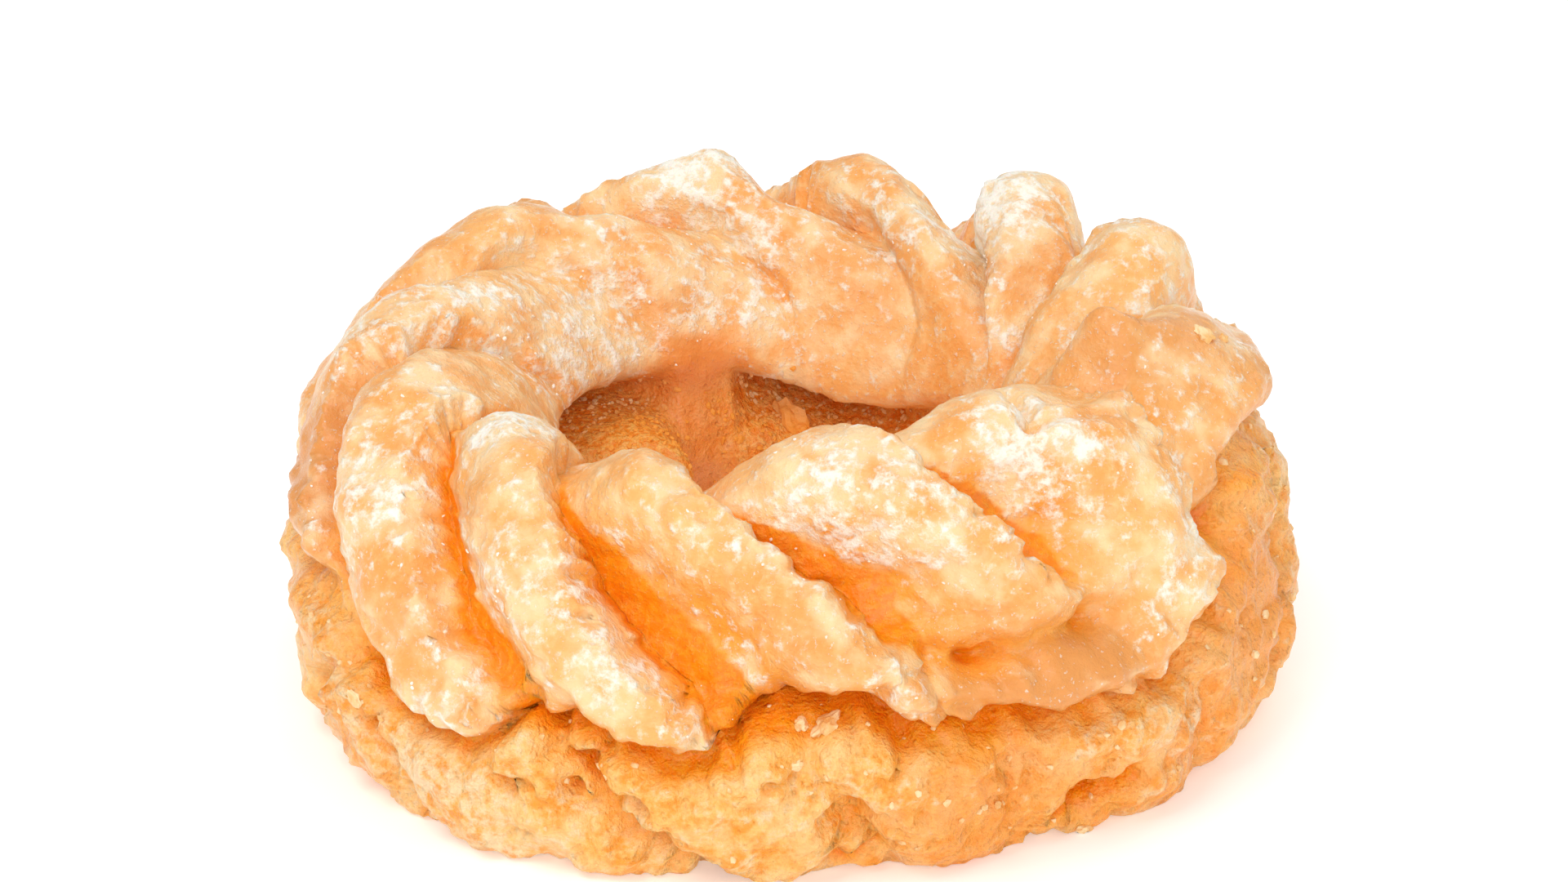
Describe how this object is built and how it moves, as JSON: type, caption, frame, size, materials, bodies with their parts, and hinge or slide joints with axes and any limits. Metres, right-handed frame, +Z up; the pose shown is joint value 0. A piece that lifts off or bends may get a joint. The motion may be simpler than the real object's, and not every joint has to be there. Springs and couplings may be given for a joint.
{
  "type": "cruller doughnut",
  "caption": "Ring doughnut piped as slanting swirls around an open hole, with a rougher lower tier and a thin cracked sugar glaze.",
  "frame": {"origin": "centre of the box round the doughnut, at its lowest points, where it stands", "axes": "+Z up through the hole, -Y towards the side that the picture shows in front"},
  "size_m": [0.0884, 0.0902, 0.0369],
  "materials": {
    "glazed_dough": "golden fried dough under a thin, partly clear and partly white sugar glaze, soft sheen"
  },
  "bodies": {
    "root": {"cruller": "glazed_dough"}
  },
  "joints": []
}
